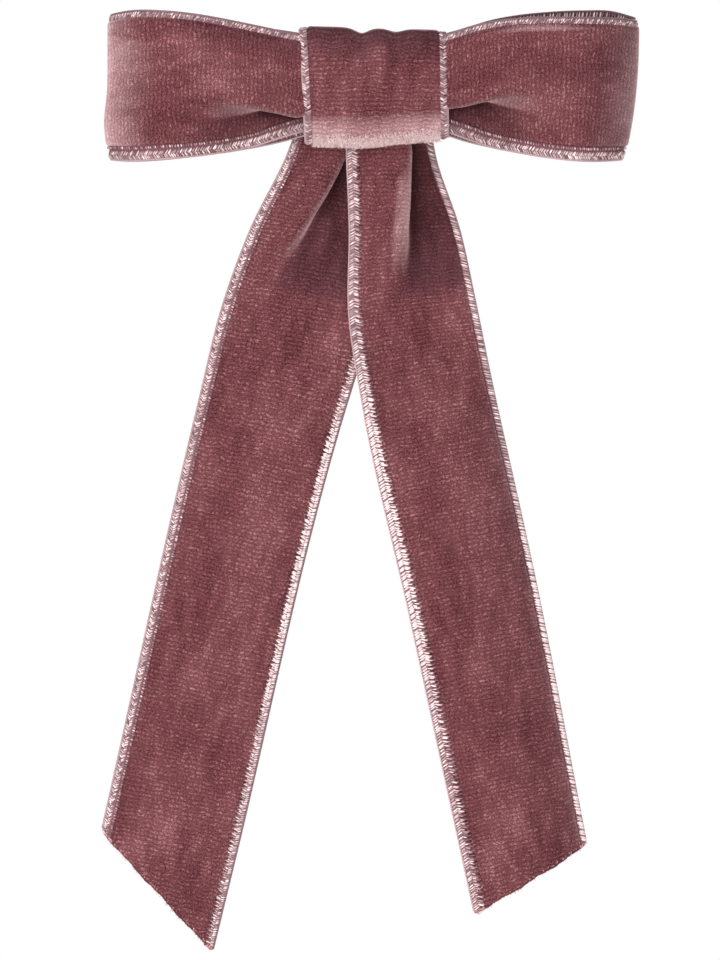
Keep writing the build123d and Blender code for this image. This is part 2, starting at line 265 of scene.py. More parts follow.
def tubes(centres, normals, radii, sides, squash=1.0):
    """Points and faces of many tubes with closed ends; each row of centres is one tube.

    squash is the section's height along the normals over its width.
    """
    count, rings = centres.shape[:2]
    along = np.gradient(centres, axis=1)
    along /= np.linalg.norm(along, axis=2, keepdims=True)
    beside = np.cross(along, normals)
    beside /= np.linalg.norm(beside, axis=2, keepdims=True)
    above = np.cross(beside, along)
    turn = np.arange(sides) * 2 * math.pi / sides
    offset = beside[:, :, None] * np.cos(turn)[:, None] + above[:, :, None] * np.sin(turn)[:, None] * squash
    points = centres[:, :, None] + offset * radii[..., None, None]
    faces = []
    for k in range(count):
        base = k * rings * sides
        for r in range(rings - 1):
            low, high = base + r * sides, base + (r + 1) * sides
            faces += [
                [low + s, low + (s + 1) % sides, high + (s + 1) % sides, high + s] for s in range(sides)
            ]
        faces.append([base + s for s in range(sides)][::-1])
        faces.append([base + (rings - 1) * sides + s for s in range(sides)])
    return points.reshape(-1, 3), faces


def inner_v(edge, distance):
    """The v that lies so far inside an edge: edge is 0 for the first and 1 for the last."""
    return distance if edge == 0 else ribbon_w - distance


# ---- the ribbon's satin edges ----
# A row of stitches is (nearest and farthest distance from the edge, slant along the edge, pitch, radius,
# lift off the middle surface, step of the seed, tone). This one is on the back, where the thread returns.
back_row = (0.25, 1.3, -0.2, 0.6, 0.18, -0.44, 2, 0.4)

# A style has the width of its satin band, its cord as (distance from the edge, lift, radius, tone), its
# rows, and for some how much lighter the stitches are where they catch the light, from one u to another.
edge_styles = {
    # two satin rows that meet in small points, a groove, and a fine row beside the pile
    "corded": {
        "band": 2.0,
        "cord": (0.1, -0.1, 0.2, 0.25),
        "rows": [
            (0.2, 0.85, 0.5, 0.42, 0.15, 0.06, 0, 0.6),
            (0.65, 1.25, -0.45, 0.42, 0.15, 0.1, 3, 0.58),
            (1.55, 1.95, 0.12, 0.46, 0.15, 0.14, 1, 0.32),
            back_row,
        ],
    },
    # a wider corded edge, whose satin rows look braided
    "braided": {
        "band": 2.4,
        "cord": (0.1, -0.1, 0.2, 0.3),
        "rows": [
            (0.2, 0.95, 0.5, 0.44, 0.15, 0.06, 0, 0.52),
            (0.8, 1.6, -0.5, 0.44, 0.16, 0.1, 3, 0.52),
            (1.9, 2.35, 0.12, 0.46, 0.15, 0.14, 1, 0.3),
            back_row,
        ],
    },
    # one row of slanted stitches with a groove beside it and a thin line outside it
    "blocked": {
        "band": 1.55,
        "cord": (0.1, -0.14, 0.16, 0.2),
        "rows": [(0.22, 1.4, -0.5, 0.5, 0.19, 0.1, 0, 0.6), back_row],
        "lit": (0.3, 60, 150),
    },
    # two fine rows of slanted stitches with a dark line outside them
    "plain": {
        "band": 1.15,
        "cord": (0.1, -0.1, 0.2, 0.0),
        "rows": [
            (0.25, 0.75, 0.35, 0.42, 0.14, 0.05, 0, 0.46),
            (0.6, 1.15, 0.4, 0.44, 0.14, 0.09, 1, 0.32),
            back_row,
        ],
    },
    # dense rows of nearly straight stitches, with a thin grey line outside them
    "fringed": {
        "band": 1.7,
        "cord": (0.1, -0.12, 0.17, 0.0),
        "rows": [
            (0.25, 0.95, 0.25, 0.38, 0.15, 0.07, 0, 0.6),
            (0.8, 1.85, -0.3, 0.4, 0.15, 0.1, 1, 0.64),
            back_row,
        ],
        "lit": (0.25, 35, 85),
        "fringe": True,
    },
    # two columns of slanted stitches, which meet like a herringbone
    "herringbone": {
        "band": 2.35,
        "cord": (0.1, -0.14, 0.14, 0.45),
        "rows": [
            (0.2, 1.25, -0.5, 0.46, 0.155, 0.08, 0, 0.62),
            (1.15, 2.4, 0.5, 0.46, 0.16, 0.12, 1, 0.6),
            back_row,
        ],
        "lit": (0.36, 35, 85),
        "fringe": True,
    },
    # fine slanted rows, pulled narrow where the ribbon's edge rolls under
    "narrow": {
        "band": 1.3,
        "cord": (0.12, -0.14, 0.2, 0.35),
        "rows": [
            (0.15, 0.8, 0.4, 0.42, 0.14, 0.06, 0, 0.45),
            (0.65, 1.4, -0.4, 0.44, 0.14, 0.1, 1, 0.36),
        ],
    },
}


def edge_cord(edge, u_range, cord):
    """The cord that the satin is sewn over, as u, v, lift, radii and tone."""
    distance, lift, radius, tone = cord
    u = np.arange(u_range[0], u_range[1], 0.5)[None, :]
    pulse = 1 + 0.06 * np.sin(u * 2 * math.pi / 1.1)
    full = np.ones_like(u)
    return u, full * inner_v(edge, distance), full * lift, radius * pulse, np.array([tone])


def stitch_row(edge, u_range, row, lit, seed):
    """Short stitches side by side that arch away from the ground, as u, v, lift, radii and tone.

    Where they catch the light they are lighter, fuller and more even.
    """
    near, far, slant, pitch, radius, lift, seed_step, tone = row
    rng = np.random.default_rng(seed + seed_step)
    seat = np.arange(u_range[0], u_range[1], pitch)[:, None]
    count = len(seat)
    t = np.linspace(0, 1, 5)[None, :]
    jog = rng.uniform(-0.3, 0.3, (count, 2, 1)) * pitch
    u = seat + jog[:, 0] + slant * (t - 0.5)
    reach = rng.uniform(-0.12, 0.12, (count, 1)) * (far - near)
    v_from, v_to = inner_v(edge, near), inner_v(edge, far)
    v = v_from + (v_to - v_from) * t + reach * t
    arch = lift + math.copysign(0.8 * radius, lift) * np.sin(math.pi * t) * (1 + jog[:, 1])
    thick = radius * np.array([0.4, 0.85, 0.95, 0.85, 0.4]) * rng.uniform(0.75, 1.1, (count, 1))
    tones = np.clip(tone + rng.normal(0, 0.3, count), 0, 1)
    if lit and lift > 0:
        lighter, first, last = lit
        middle = u.mean(axis=1)
        light = smooth((middle - first) / 20) * (1 - smooth((middle - last) / 30))
        thick = thick * (1 + 0.4 * light)[:, None]
        tones = tones + 2.1 * lighter * light * (1 - tones)
    return u, v, arch, thick, tones


def satin_edge(ribbon, name, edge, style, u_range, u_ends, seed):
    """One mesh of an edge's cord and stitches, cut off at the ribbon's ends."""
    rows = [edge_cord(edge, u_range, style["cord"])]
    rows += [stitch_row(edge, u_range, row, style.get("lit"), seed) for row in style["rows"]]
    points, faces, tones, shades = [], [], [], []
    first = 0
    for u, v, lift, radii, tone in rows:
        start, end = u_ends(v)
        inside = (u > start) & (u < end)
        if len(u) > 1:
            kept = inside.all(axis=1)
            u, v, lift, radii, tone = u[kept], v[kept], lift[kept], radii[kept], tone[kept]
        else:
            u, v, lift, radii = (values[:, inside[0]] for values in (u, v, lift, radii))
        found, quads = ribbon.tubes_along(u, v, lift, radii, 6, 0.8)
        points.append(found)
        faces += [[first + n for n in quad] for quad in quads]
        first += len(found)
        tones.append(np.repeat(tone, radii.shape[1] * 6))
        shades.append(np.repeat(ribbon.pick(ribbon.shade, u, v).ravel(), 6))
    floats = {"tone": np.concatenate(tones), "shade": np.concatenate(shades)}
    return new_mesh(name, np.concatenate(points), faces, floats, satin)


def fringe(ribbon, name, edge, band, u_range, seed):
    """Tufts at the ends of the pile's rows, which reach over the satin band in points."""
    rng = np.random.default_rng(seed)
    seat = np.arange(u_range[0], u_range[1], 0.72)[:, None]
    count = len(seat)
    t = np.linspace(0, 1, 5)[None, :]
    reach = rng.uniform(0.2, 0.75, (count, 1)) + max(0.0, band - 1.7) * smooth((seat - 30) / 35)
    inside = band + 0.35 - (reach + 0.35) * t
    u = seat + rng.uniform(-0.1, 0.1, (count, 1)) + rng.uniform(-0.15, 0.15, (count, 1)) * t
    v = inner_v(edge, inside)
    thick = np.array([0.34, 0.32, 0.26, 0.17, 0.04]) * rng.uniform(0.8, 1.1, (count, 1))
    points, faces = ribbon.tubes_along(u, v, 0.3 - 0.08 * t, thick, 6, 0.75)
    floats = {"along": u, "across": v, "shade": ribbon.pick(ribbon.shade, u, v)}
    floats = {key: np.repeat(values.ravel(), 6) for key, values in floats.items()}
    return new_mesh(name, points, faces, floats, velvet)


def pile_heights(first_v, last_v):
    """The pile stands full over most of its width and rounds off towards the satin bands."""

    def heights(u, v):
        inside = np.minimum(v - first_v, last_v - v)
        return np.full_like(v, -0.1), 0.12 + (pile_h - 0.12) * np.sqrt(smooth(inside / 0.6))

    return heights


def ground_heights(u, v):
    """The woven ground is thinner at the very edge, where the satin thread wraps round it."""
    inside = np.minimum(v, ribbon_w - v)
    half = (ground_h - back_h) / 2 * (0.55 + 0.45 * smooth(inside / 0.6))
    middle = (ground_h + back_h) / 2
    return middle - half, middle + half


def dress(ribbon, name, edges, u_ends, seed, body, back):
    """The pieces of one ribbon: its woven ground with its back's material, its pile, edges and fringes."""
    styles = [edge_styles[edge] for edge in edges]
    v_ground = (0.15, ribbon_w - 0.15)
    v_pile = (styles[0]["band"], ribbon_w - styles[1]["band"])
    ground = layer(ribbon, f"{name}_ground", back, v_ground, u_ends, ground_heights, groove)
    others = [layer(ribbon, f"{name}_pile", velvet, v_pile, u_ends, pile_heights(*v_pile))]
    for edge, style in enumerate(styles):
        band = style["band"]
        start, end = u_ends(np.array([inner_v(edge, 0.2), inner_v(edge, band)]))
        first = float(start.min()) + 0.1
        title = f"{name}_edge_{edge + 1}"
        u_range = (first, float(end.max()))
        others.append(satin_edge(ribbon, title, edge, style, u_range, u_ends, seed + 10 * edge))
        if "fringe" in style:
            u_range = (first, float(end.min()) - 0.1)
            others.append(fringe(ribbon, f"{name}_fringe_{edge + 1}", edge, band, u_range, seed + 5))
    for piece in [ground, *others]:
        if body:
            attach(piece, body)
    return ground, others


def fray(ribbon, name, u_ends, seed):
    """Short loose fibres along a cut end, which lie over its rim."""
    rng = np.random.default_rng(seed)
    v = np.sort(rng.uniform(0.3, ribbon_w - 0.3, 520))[:, None]
    t = np.linspace(0, 1, 5)[None, :]
    stray = rng.uniform(0, 1, v.shape) < 0.08
    reach = np.where(stray, rng.uniform(0.2, 0.5, v.shape), rng.uniform(-0.05, 0.15, v.shape))
    u = u_ends(v)[1] - 0.55 + (reach + 0.55) * t
    v = v + rng.normal(0, 0.15, v.shape) * t
    lift = rng.uniform(-0.1, 0.52, (len(v), 1)) - 0.1 * t
    thick = rng.uniform(0.04, 0.075, (len(v), 1)) * np.array([1, 1, 0.9, 0.7, 0.4])
    return fibres(ribbon, name, cut_fibre, (u, v, lift), thick, rng)


def rim_fuzz(ribbon, name, u_range, seed):
    """Pile tips that stand out along a rolled rim of the ribbon, nearly white as a painted highlight."""
    rng = np.random.default_rng(seed)
    count = 3600
    t = np.linspace(0, 1, 4)[None, :]
    u = rng.triangular(u_range[0], sum(u_range) / 2, u_range[1], (count, 1))
    v = rng.uniform(1.5, ribbon_w - 1.5, (count, 1))
    u = u + rng.normal(0, 0.22, (count, 1)) * t
    v = v + rng.normal(0, 0.22, (count, 1)) * t
    lift = pile_h - 0.08 + rng.uniform(0.15, 0.5, (count, 1)) * t
    thick = rng.uniform(0.035, 0.06, (count, 1)) * np.array([1, 0.9, 0.75, 0.45])
    return fibres(ribbon, name, pile_tip_painted_sheen, (u, v, lift), thick, rng)


def fibres(ribbon, name, material, lines, thick, rng):
    """Fine fibres on a ribbon, each along its own row of u, v and lift, with a random tone."""
    points, faces = ribbon.tubes_along(*lines, thick, 4)
    floats = {"tone": np.repeat(rng.uniform(0, 1, len(thick)), 4 * thick.shape[1])}
    return new_mesh(name, points, faces, floats, material)


# ---- materials ----
def srgb(r, g, b):
    """A linear colour from 0 to 255 screen values."""

    def channel(c):
        c = c / 255
        return c / 12.92 if c <= 0.04045 else ((c + 0.055) / 1.055) ** 2.4

    return (channel(r), channel(g), channel(b), 1.0)


class Look:
    """A small helper that adds nodes to a material and links them."""

    def __init__(self, name, **settings):
        self.material = bpy.data.materials.new(name)
        self.material.use_nodes = True
        self.tree = self.material.node_tree
        self.surface = self.tree.nodes["Principled BSDF"]
        for socket, value in settings.items():
            self.surface.inputs[socket.replace("_", " ")].default_value = value

    def add(self, kind, inputs=None, **properties):
        """A new node; an input is a value, or an output socket to link."""
        node = self.tree.nodes.new(kind)
        for key, value in properties.items():
            setattr(node, key, value)
        for key, value in (inputs or {}).items():
            if isinstance(value, bpy.types.NodeSocket):
                self.tree.links.new(value, node.inputs[key])
            else:
                node.inputs[key].default_value = value
        return node

    def math(self, operation, a, *others):
        """The values run through Math nodes in turn: the first two, then the result and the next one."""
        for b in others or (0.0,):
            a = self.add("ShaderNodeMath", {0: a, 1: b}, operation=operation).outputs[0]
        return a

    def total(self, *values):
        """The sum of the values."""
        return self.math("ADD", *values)

    def product(self, *values):
        """The product of the values."""
        return self.math("MULTIPLY", *values)

    def attribute(self, name):
        """A float attribute of the mesh."""
        return self.add("ShaderNodeAttribute", attribute_name=name).outputs["Fac"]

    def noise(self, vector, detail=2.0, rough=0.5):
        """A noise from 0 to 1, whose blotches are as wide as the vector's unit."""
        inputs = {"Vector": vector, "Scale": 1.0, "Detail": detail, "Roughness": rough}
        return self.add("ShaderNodeTexNoise", inputs).outputs["Fac"]

    def spread(self, value, low, high, to_low=0.0, to_high=1.0):
        """The value mapped from one range to another, without going beyond it."""
        inputs = {"Value": value, 1: low, 2: high, 3: to_low, 4: to_high}
        return self.add("ShaderNodeMapRange", inputs).outputs[0]

    def mix(self, share, a, b):
        """A mix of two colours, with this share of b."""
        return self.add("ShaderNodeMix", {0: share, 6: a, 7: b}, data_type="RGBA").outputs[2]

    def waves(self, vector, scale, distortion, direction):
        """Soft stripes from 0 to 1."""
        inputs = {"Vector": vector, "Scale": scale, "Distortion": distortion, "Detail": 1.0}
        return self.add("ShaderNodeTexWave", inputs, bands_direction=direction).outputs["Fac"]

    def paint_fold_shade(self, colour, share, hidden):
        """Painted shade: the colour, turned by a share to the dark hidden one where the ribbon's folds cover
        it.
        """
        return self.mix(self.spread(self.attribute("shade"), 0.1, 0.9, 0.0, share), colour, hidden)

    def place(self, scale):
        """The object's own coordinates, in millimetres, stretched by scale."""
        where = self.add("ShaderNodeTexCoord").outputs["Object"]
        size = tuple(1000 * s for s in scale)
        return self.add("ShaderNodeMapping", {"Vector": where, "Scale": size}).outputs[0]

    def weave(self, across=1.0, along=1.0):
        """Coordinates over the ribbon, in millimetres, stretched by the two factors."""
        a = self.product(self.attribute("across"), across)
        b = self.product(self.attribute("along"), along)
        return self.add("ShaderNodeCombineXYZ", {"X": a, "Y": b}).outputs[0]

    def white_noise(self, **inputs):
        """A value from 0 to 1 that jumps at each whole number of its one input."""
        size = "1D" if "W" in inputs else "2D"
        return self.add("ShaderNodeTexWhiteNoise", inputs, noise_dimensions=size).outputs["Value"]

    def off_middle(self, value):
        """How far a value lies from the middle between two whole numbers."""
        return self.math("ABSOLUTE", self.math("SUBTRACT", self.math("FRACT", value), 0.5))

    def finish(self, colour, rough=None, height=None, strength=0.5, distance=0.0001):
        """Links the colour, roughness and bump to the surface, and gives the material."""
        self.tree.links.new(colour, self.surface.inputs["Base Color"])
        if rough is not None:
            self.tree.links.new(rough, self.surface.inputs["Roughness"])
        if height is not None:
            inputs = {"Height": height, "Strength": strength, "Distance": distance}
            bump = self.add("ShaderNodeBump", inputs)
            self.tree.links.new(bump.outputs[0], self.surface.inputs["Normal"])
        return self.material


def pile_tone(look):
    """The pile's tone, from 0 to 1, and its height: short dashes in rows along the weft, specks, patches.

    The rows and the cells in them wander, and each row's cells start at a place of their own.
    """
    row_pitch, dash_pitch = 0.74, 0.9
    wander = look.spread(look.noise(look.weave(0.45, 0.25)), 0.25, 0.75, -0.45, 0.45)
    rows = look.total(look.math("DIVIDE", look.attribute("along"), row_pitch), wander)
    row = look.math("FLOOR", rows)
    drift = look.spread(look.noise(look.weave(0.4, 0.9)), 0.25, 0.75, -0.8, 0.8)
    cells = look.math("DIVIDE", look.attribute("across"), dash_pitch)
    cells = look.total(cells, drift, look.product(look.white_noise(W=row), 7.0))
    where = look.add("ShaderNodeCombineXYZ", {"X": row, "Y": look.math("FLOOR", cells)}).outputs[0]
    over, beside = look.off_middle(rows), look.off_middle(cells)
    dash = look.product(
        look.spread(over, 0.46, 0.12),
        look.spread(beside, 0.5, 0.24),
        look.spread(look.white_noise(Vector=where), 0.0, 1.0, 0.42, 1.0),
        look.spread(look.noise(look.weave(0.7, 0.7)), 0.35, 0.6, 0.5, 1.0),
    )
    specks = look.spread(look.noise(look.weave(3.6, 5.0), 2.0, 0.65), 0.25, 0.75)
    nap = look.noise(look.weave(0.09, 0.045), 3.0, 0.55)
    brushed = look.noise(look.weave(0.5, 0.15))
    tone = look.total(
        look.product(dash, 0.4),
        look.product(specks, 0.85),
        look.spread(nap, 0.3, 0.7, -0.34, -0.04),
        look.spread(brushed, 0.3, 0.7, -0.08, 0.08),
    )
    height = look.total(look.product(dash, 0.6), look.product(specks, 0.5))
    return look.spread(tone, 0.0, 1.0), height


def velvet_material():
    """Cut pile, whose nap lies along the ribbon, in colours with painted sheen and shade: pale where the
    ribbon turns back and at its rims.

    Part of a rim's paleness is the pile's sheen, painted into the colour. That part, away, follows the view
    and not the surface. The pile is also painted darker as shade where it faces up and where folds hide it.
    """
    sheen = {"Sheen_Weight": 0.7, "Sheen_Roughness": 0.3, "Sheen_Tint": srgb(250, 205, 208)}
    look = Look("velvet", Roughness=0.95, Specular_IOR_Level=0.1, **sheen)
    tone, height = pile_tone(look)
    low = look.mix(look.spread(tone, 0.0, 0.5), srgb(60, 24, 29), srgb(116, 68, 72))
    colour = look.mix(look.spread(tone, 0.5, 1.0), low, srgb(180, 136, 138))
    normal = look.add("ShaderNodeNewGeometry").outputs["Normal"]
    up = look.add("ShaderNodeSeparateXYZ", {0: normal}).outputs["Z"]
    away = look.add("ShaderNodeLayerWeight", {"Blend": 0.5}).outputs["Facing"]
    painted_nap_light = look.attribute("painted_nap_light")
    shade = look.attribute("shade")
    # painted sheen: pale at rims seen edge-on and where the ribbon turns back, mostly where the pile faces
    # down and not in folds
    below = look.spread(up, 0.0, 0.7, 1.0, 0.0)
    rim = look.product(look.spread(away, 0.1, 0.85, 0.0, 0.75), below)
    rim = look.total(rim, look.spread(painted_nap_light, 0.2, 0.85, 0.0, 0.95))
    open_to_light = look.spread(shade, 0.04, 0.28, 1.0, 0.0)
    rim = look.product(look.spread(rim, 0.0, 0.95, 0.0, 0.95), open_to_light)
    # painted shade: darker where the pile faces up, and where its nap value is turned dark
    turned = look.total(look.spread(up, 0.0, 0.6, 0.0, 0.9), look.spread(painted_nap_light, -0.03, -0.5, 0.0, 0.5))
    dark = look.mix(tone, srgb(50, 21, 28), srgb(114, 72, 79))
    colour = look.mix(look.spread(turned, 0.0, 0.9, 0.0, 0.9), colour, dark)
    pale = look.mix(tone, srgb(156, 104, 109), srgb(250, 224, 225))
    colour = look.mix(rim, colour, pale)
    # painted shade: near black where the folds hide the pile
    hidden = look.mix(tone, srgb(28, 10, 13), srgb(66, 30, 34))
    colour = look.mix(look.spread(shade, 0.06, 0.6, 0.0, 0.92), colour, hidden)
    return look.finish(colour, height=height, strength=0.6, distance=0.00016)


def groove_material():
    """The front of the ribbon's ground: pink under the satin stitches, and dark in the groove beside them."""
    look = Look("edge_groove", Roughness=0.9, Specular_IOR_Level=0.15)
    across = look.attribute("across")
    inside = look.math("MINIMUM", across, look.math("SUBTRACT", ribbon_w, across))
    grain = look.noise(look.weave(3.0, 3.0), 3.0)
    dark = look.mix(grain, srgb(92, 52, 58), srgb(134, 88, 94))
    pink = look.mix(grain, srgb(110, 74, 80), srgb(166, 128, 133))
    colour = look.mix(look.spread(inside, 1.3, 1.5), pink, dark)
    return look.finish(look.paint_fold_shade(colour, 0.8, srgb(40, 20, 24)), height=grain, strength=0.4)


def fibre_material(name, low, high):
    """Fine fibres, each with its own tone between two colours."""
    look = Look(name, Roughness=0.7, Sheen_Weight=0.5)
    return look.finish(look.mix(look.attribute("tone"), low, high))


def satin_material():
    """Shiny pink thread, each stitch a little lighter or darker, with fine strands in it."""
    look = Look("satin_thread", Roughness=0.42, Specular_IOR_Level=0.5, Sheen_Weight=0.25)
    tone = look.attribute("tone")
    cord = look.mix(look.spread(tone, 0.0, 0.45), srgb(112, 80, 87), srgb(186, 154, 157))
    colour = look.mix(look.spread(tone, 0.45, 1.0), cord, srgb(252, 230, 229))
    strands = look.noise(look.place((6, 6, 6)), 3.0)
    colour = look.mix(look.spread(strands, 0.35, 0.65, 0.25, 0.0), colour, srgb(130, 88, 94))
    colour = look.paint_fold_shade(colour, 0.75, srgb(70, 40, 46))
    return look.finish(colour, height=strands, strength=0.3, distance=0.00005)


def backing_material(name, low, high):
    """The woven back of the ribbon: a plain weave between two colours, with darker and lighter patches."""
    look = Look(name, Roughness=0.55, Specular_IOR_Level=0.4, Sheen_Weight=0.3)
    flat = look.weave()
    cross = look.product(look.waves(flat, 1.1, 0.6, "X"), look.waves(flat, 0.9, 0.6, "Y"))
    patches = look.noise(look.weave(0.3, 0.1), 3.0)
    threads = look.spread(cross, 0.0, 1.0, 0.2, 0.8)
    tone = look.total(threads, look.spread(patches, 0.3, 0.7, -0.1, 0.1))
    colour = look.paint_fold_shade(look.mix(tone, low, high), 0.8, srgb(40, 20, 24))
    return look.finish(colour, height=cross)


def steel_material(name, light, rough):
    """Nickel-plated stamped steel: fine drawing lines along it, scuffs, and wear that dulls the edges."""
    look = Look(name, Metallic=1.0)
    lines = look.noise(look.place((0.6, 9, 9)), 4.0, 0.6)
    scuffs = look.noise(look.place((0.5, 0.5, 0.5)), 5.0, 0.65)
    edge = look.add("ShaderNodeBevel", {"Radius": 0.0004}, samples=4).outputs[0]
    plain = look.add("ShaderNodeNewGeometry").outputs["Normal"]
    turn = look.add("ShaderNodeVectorMath", {0: edge, 1: plain}, operation="DOT_PRODUCT").outputs["Value"]
    worn = look.spread(turn, 0.999, 0.9)
    scuffed = (*(0.8 * c for c in light[:3]), 1.0)
    colour = look.mix(look.spread(scuffs, 0.4, 0.7), light, scuffed)
    colour = look.mix(look.product(worn, 0.5), colour, (0.85, 0.83, 0.8, 1.0))
    gloss = look.spread(lines, 0.3, 0.7, rough - 0.08, rough + 0.08)
    gloss = look.total(gloss, look.spread(scuffs, 0.45, 0.75, 0.0, 0.15))
    return look.finish(colour, rough=gloss, height=lines, strength=0.12, distance=0.00003)


def thread_material():
    """Sewing thread: two plies that twist round each other, with loose fibres."""
    look = Look("sewing_thread", Roughness=0.6, Sheen_Weight=0.4)
    twist = look.waves(look.place((1, 1, 1)), 0.9, 1.0, "DIAGONAL")
    strands = look.noise(look.place((5, 5, 5)), 3.0)
    colour = look.mix(twist, srgb(128, 82, 88), srgb(186, 142, 147))
    colour = look.mix(look.spread(strands, 0.4, 0.7, 0.0, 0.35), colour, srgb(214, 180, 182))
    return look.finish(colour, height=twist, strength=0.6, distance=0.00008)


def glue_material():
    """Set hot-melt: cloudy amber with soft ripples."""
    look = Look("hot_melt", Roughness=0.35, Subsurface_Weight=0.15, Subsurface_Scale=0.001)
    clouds = look.noise(look.place((0.4, 0.4, 0.4)), 4.0)
    colour = look.mix(clouds, srgb(198, 180, 146), srgb(228, 218, 194))
    return look.finish(colour, height=clouds, strength=0.4, distance=0.0003)


def felt_material():
    """Pressed felt: matted fibres, a little pilled."""
    look = Look("lining_felt", Roughness=0.95, Specular_IOR_Level=0.1, Sheen_Weight=0.5)
    mat = look.noise(look.place((1.5, 1.5, 1.5)), 6.0, 0.7)
    hairs = look.noise(look.place((0.8, 0.8, 7)), 3.0, 0.6)
    pills = look.noise(look.place((0.25, 0.25, 0.25)), 2.0)
    tone = look.total(look.product(mat, 0.6), look.product(hairs, 0.4))
    colour = look.mix(look.spread(tone, 0.3, 0.7), srgb(86, 46, 52), srgb(142, 94, 98))
    colour = look.mix(look.spread(pills, 0.5, 0.7, 0.0, 0.3), colour, srgb(160, 112, 116))
    return look.finish(colour, height=tone, strength=0.7, distance=0.00025)


velvet = velvet_material()
groove = groove_material()
cut_fibre = fibre_material("cut_fibre", srgb(150, 70, 74), srgb(226, 176, 176))
# the pile tips are nearly white: a painted highlight on the knot's rim
pile_tip_painted_sheen = fibre_material("pile_tip_painted_sheen", srgb(186, 140, 144), srgb(250, 234, 232))
satin = satin_material()
backing = backing_material("ribbon_back", srgb(120, 80, 84), srgb(184, 144, 143))
# a darker copy of the back's material, as painted shade inside the loops
shaded_inner_backing = backing_material("loops_inside_painted_shade", srgb(78, 38, 46), srgb(136, 88, 96))
felt = felt_material()
sewing = thread_material()


# ---- loops: one ring of ribbon, gathered at the middle ----
def loop_plan():
    """The ring seen from above, as closed points that start at the middle of the back."""
    end_x = loops_high[0] + 0.2
    front_y = loops_low[1] + 0.7
    back = [(0.0, -10.2), (12.0, -9.4), (22.0, -7.0), (31.0, -4.2), (37.6, -2.5), (42.6, -2.9)]
    front = [(42.2, -10.6), (35.5, -13.5), (27.0, front_y), (18.5, -13.9), (11.0, -12.8), (0.0, -12.4)]
    half = np.array([*back, (end_x, -6.6), *front])
    ring = np.concatenate([half, half[-2::-1] * (-1, 1)])
    at = np.linspace(0, len(ring) - 1, 2000)
    return by_length(curve(np.arange(len(ring)), ring, at), fine)


def loop_edges(x, in_front):
    """Heights of the ring's upper and lower edge over x, for its front layer and its back layer.

    The left loop's layers meet at the top, and the right loop's back layer stands above its front.
    """
    at = [0, 8, 12.5, 16, 20, 25, 30, 36, 42, 46]
    # each edge has rows for the left loop's front and back, and for the right loop's front and back
    upper = [
        [7.4, 8.0, 8.9, 9.5, 10.3, 11.3, 12.2, 12.9, 13.1, 12.6],
        [7.4, 8.2, 9.3, 9.9, 10.5, 11.3, 12.0, 12.7, 12.9, 12.6],
        [7.4, 8.0, 8.9, 10.0, 11.0, 11.6, 11.8, 11.8, 11.8, 11.6],
        [7.4, 8.2, 9.3, 10.3, 11.6, 12.6, 13.2, 13.6, 13.4, 12.0],
    ]
    lower = [
        [-5.4, -6.6, -7.9, -9.0, -10.2, -11.2, -12.0, -12.6, -12.8, -12.4],
        [-6.8, -7.4, -8.6, -9.4, -10.2, -11.0, -11.6, -12.2, -12.5, -12.4],
        [-5.6, -6.6, -7.9, -9.2, -10.4, -11.4, -12.3, -12.9, -12.8, -12.4],
        [-6.6, -7.1, -8.3, -9.3, -10.2, -11.0, -11.8, -12.4, -12.5, -12.4],
    ]
    right = smooth(x + 0.5)
    heights = []
    for rows in (upper, lower):
        left_front, left_back, right_front, right_back = (curve(at, row, np.abs(x)) for row in rows)
        front = right_front * right + left_front * (1 - right)
        back = right_back * right + left_back * (1 - right)
        heights.append(front * in_front + back * (1 - in_front))
    return heights


def loop_ribbon():
    """The ring: a deep fold in its front below the middle, and shallow waves in its back."""
    u, plan = loop_plan()
    x, y = plan[:, 0], plan[:, 1]
    heading = np.gradient(plan, u, axis=0)
    inward = np.stack([heading[:, 1], -heading[:, 0], np.zeros_like(x)], axis=1)
    inward /= np.linalg.norm(inward, axis=1, keepdims=True)
    line_y = np.interp(np.abs(x), [0, 30, 46], [-11.3, -9.0, -6.6])
    in_front = smooth((line_y - y) / 3.0 + 0.5)
    upper, lower = (np.stack([x, y, z], axis=1) for z in loop_edges(x, in_front))
    x, in_front = x[:, None], in_front[:, None]
    out = np.abs(x)
    away = np.clip((out - 13.0) / 25.0, 0, 1)
    fold_start = 14.0 - 1.4 * smooth((x + 4) / 8)
    fold = gather(over_width, fold_start, 4.6, 2.2) * math.radians(150) * (1 - away) ** 1.6
    waves = -0.85 * (1 - smooth(away * 1.4)) * np.cos(over_width * 2 * math.pi / 6.25)
    waves = waves * (1 - smooth((over_width - 19.8) / 1.2))
    angles = fold * in_front + waves * (1 - in_front)
    squeeze = 0.3 + 0.3 * smooth((out - 7) / 6) + 0.4 * smooth((out - 14) / 9)
    points, shade = loft(upper, lower, inward, angles, squeeze)
    # the pleat's own slope catches less light than a rim does
    shade = np.maximum(shade, 0.17 * np.clip(np.sin(fold), 0, 1) * in_front)
    ring = Ribbon(u, widths, lean_ends(points), shade)
    # the nap's painted sheen shows less on the taut loops; below their upper edges there is a painted light
    # line on the right loop and a painted dark band on the left one
    painted_light_line = hump(over_width, 1.9, 0.8) * smooth((x - 15) / 14)
    painted_dark_band = smooth((over_width - 1.5) / 0.6 + 0.5) * (1 - smooth((over_width - 4.5) / 2.4 + 0.5))
    painted_dark_band = painted_dark_band * smooth((-x - 6) / 8)
    ring.painted_nap_light = 0.62 * ring.painted_nap_light + 0.5 * (painted_light_line - 0.5 * painted_dark_band) * in_front
    return ring


